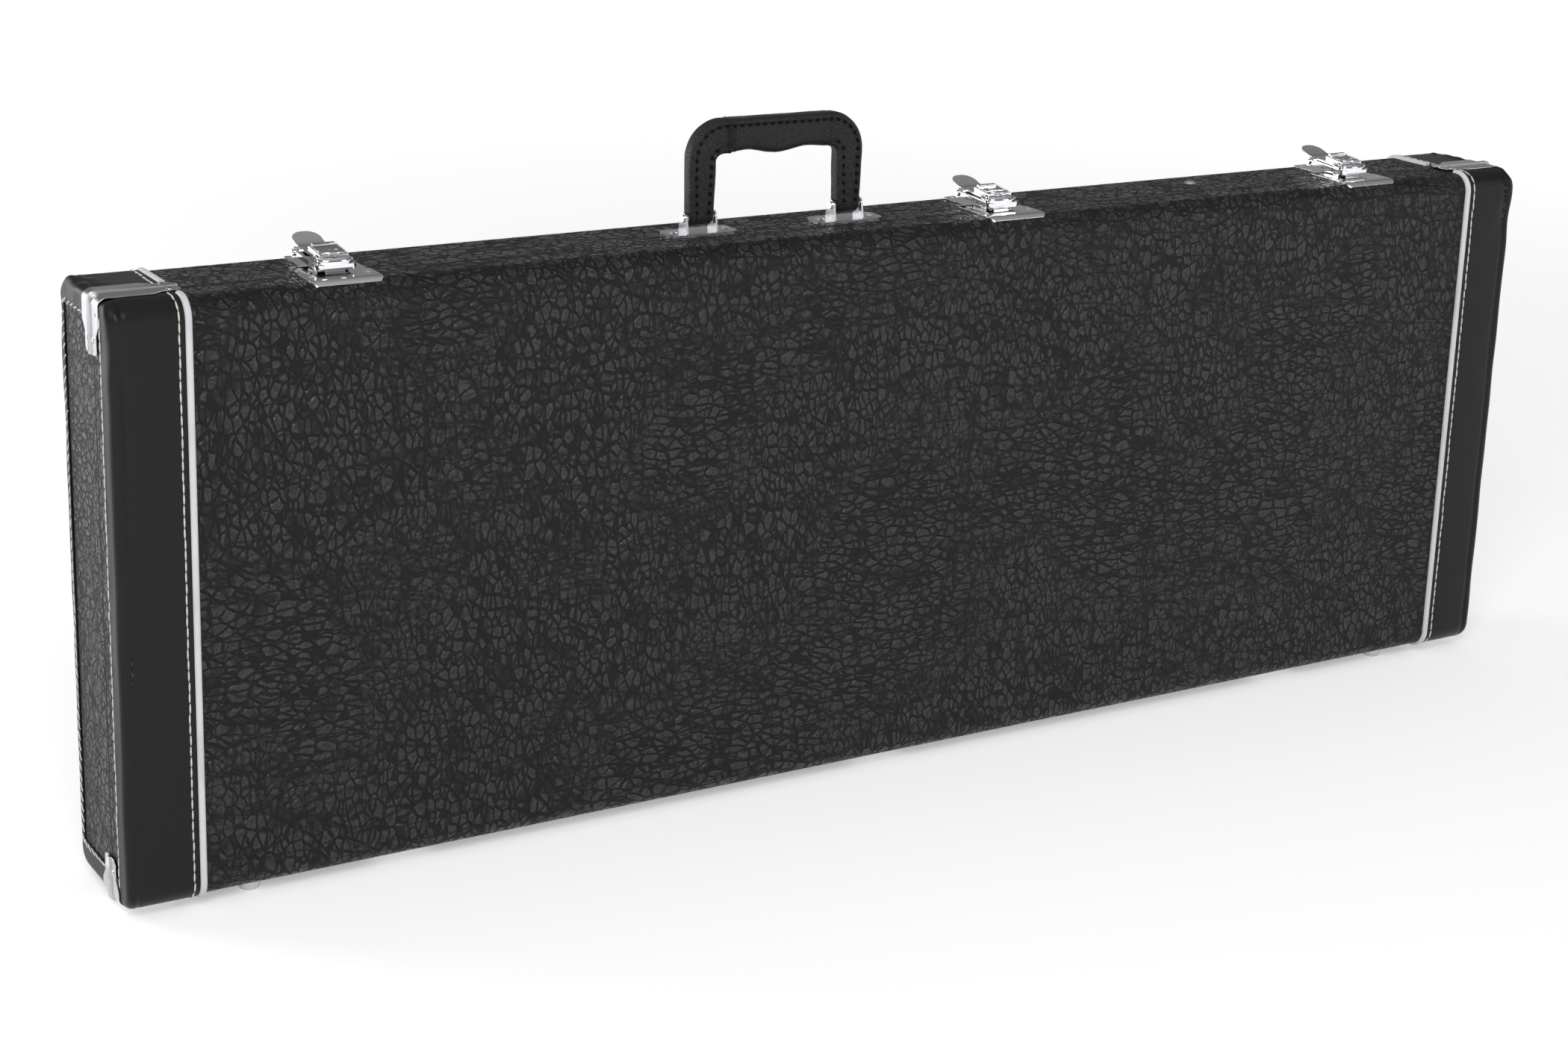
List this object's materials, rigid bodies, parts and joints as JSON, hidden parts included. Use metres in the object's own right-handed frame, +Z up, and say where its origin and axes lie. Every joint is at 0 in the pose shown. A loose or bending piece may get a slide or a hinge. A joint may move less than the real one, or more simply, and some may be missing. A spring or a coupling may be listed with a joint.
{
  "type": "electric guitar case",
  "caption": "Rectangular hinged guitar case covered in black embossed vinyl with smooth end covers, white piping, draw latches, a carrying handle and lined compartments.",
  "frame": {"origin": "floor level under the centre of the case, which stands on its feet", "axes": "+X along the case towards the headstock end, -Y out of the lid, +Z up through the handle"},
  "size_m": [1.0638, 0.0924, 0.443],
  "materials": {
    "textured_vinyl": "embossed",
    "smooth_leatherette": "satin",
    "plywood": "raw",
    "plush": "short pile",
    "white_piping": "satin",
    "nickel": "nickel plated",
    "chrome": "polished",
    "handle_leather": "grained",
    "strap_steel": "plain",
    "ribbon": "woven"
  },
  "bodies": {
    "base": {"base_plywood_shell": "plywood", "base_vinyl_cover": "textured_vinyl", "base_plush_lining": "plush", "base_end_cover_left": "smooth_leatherette", "base_end_cover_right": "smooth_leatherette", "base_piping_left": "white_piping", "base_piping_right": "white_piping", "base_valance_top_left": "nickel", "base_valance_top_right": "nickel", "base_valance_bottom_left": "nickel", "base_valance_bottom_right": "nickel", "base_valance_rivets": "nickel", "base_feet": "nickel", "base_hinge_leaves": "nickel", "hinge_pins": "nickel", "neck_cradle": "plush", "accessory_bin": "plush", "bin_rivet": "chrome", "handle_bracket_left": "nickel", "handle_bracket_right": "nickel", "handle_bracket_rivets": "nickel", "handle_pivot_pins": "nickel", "latch_base_1": "chrome", "latch_base_2": "chrome", "latch_base_3": "chrome", "latch_pivot_pins": "nickel", "latch_rivets": "chrome"},
    "lid": {"lid_plywood_shell": "plywood", "lid_vinyl_cover": "textured_vinyl", "lid_plush_lining": "plush", "lid_end_cover_left": "smooth_leatherette", "lid_end_cover_right": "smooth_leatherette", "lid_piping_left": "white_piping", "lid_piping_right": "white_piping", "lid_valance_top_left": "nickel", "lid_valance_top_right": "nickel", "lid_valance_bottom_left": "nickel", "lid_valance_bottom_right": "nickel", "lid_valance_rivets": "nickel", "lid_feet": "nickel", "lid_hinge_leaves": "nickel", "strike_plate_1": "chrome", "strike_plate_2": "chrome", "strike_plate_3": "chrome", "strike_rivets": "chrome"},
    "latch_lever_1": {"latch_lever_1": "chrome", "bail_pin_1": "chrome"},
    "latch_bail_1": {"latch_bail_1": "chrome"},
    "latch_lever_2": {"latch_lever_2": "chrome", "bail_pin_2": "chrome"},
    "latch_bail_2": {"latch_bail_2": "chrome"},
    "latch_lever_3": {"latch_lever_3": "chrome", "bail_pin_3": "chrome"},
    "latch_bail_3": {"latch_bail_3": "chrome"},
    "lock_barrel": {"lock_barrel": "chrome"},
    "handle": {"handle_core": "strap_steel", "handle_cover": "handle_leather"},
    "bin_lid": {"bin_lid": "plush", "bin_lid_ribbon": "ribbon"}
  },
  "joints": [
    {"name": "lid_hinge", "type": "hinge", "parent": "base", "child": "lid", "pos_m": [0, -0.015, 0.0033], "axis": [1, 0, 0], "range_deg": [0, 105]},
    {"name": "latch_lever_1", "type": "hinge", "parent": "base", "child": "latch_lever_1", "pos_m": [-0.3855, -0.011, 0.379], "axis": [1, 0, 0], "range_deg": [0, 150]},
    {"name": "latch_bail_1", "type": "hinge", "parent": "latch_lever_1", "child": "latch_bail_1", "pos_m": [-0.3855, 0.016, 0.3782], "axis": [1, 0, 0], "range_deg": [-97.5, 0]},
    {"name": "latch_lever_2", "type": "hinge", "parent": "base", "child": "latch_lever_2", "pos_m": [0.0866, -0.011, 0.379], "axis": [1, 0, 0], "range_deg": [0, 150]},
    {"name": "latch_bail_2", "type": "hinge", "parent": "latch_lever_2", "child": "latch_bail_2", "pos_m": [0.0866, 0.016, 0.3782], "axis": [1, 0, 0], "range_deg": [-97.5, 0]},
    {"name": "latch_lever_3", "type": "hinge", "parent": "base", "child": "latch_lever_3", "pos_m": [0.3952, -0.011, 0.379], "axis": [1, 0, 0], "range_deg": [0, 150]},
    {"name": "latch_bail_3", "type": "hinge", "parent": "latch_lever_3", "child": "latch_bail_3", "pos_m": [0.3952, 0.016, 0.3782], "axis": [1, 0, 0], "range_deg": [-97.5, 0]},
    {"name": "lock_turn", "type": "hinge", "parent": "latch_lever_2", "child": "lock_barrel", "pos_m": [0.0866, -0.0065, 0.379], "axis": [0, 0, 1], "range_deg": [0, 90]},
    {"name": "handle_swing", "type": "hinge", "parent": "base", "child": "handle", "pos_m": [-0.079, 0.0015, 0.381], "axis": [1, 0, 0], "range_deg": [-85, 85]},
    {"name": "bin_lid_hinge", "type": "hinge", "parent": "base", "child": "bin_lid", "pos_m": [0.225, -0.01285, 0.3617], "axis": [1, 0, 0], "range_deg": [-80, 0]}
  ],
  "couplings": [
    {"joint": "latch_bail_1", "follows": "latch_lever_1", "ratio": -0.65},
    {"joint": "latch_bail_2", "follows": "latch_lever_2", "ratio": -0.65},
    {"joint": "latch_bail_3", "follows": "latch_lever_3", "ratio": -0.65},
    {"joint": "bin_lid_hinge", "follows": "lid_hinge", "ratio": -0.75}
  ]
}
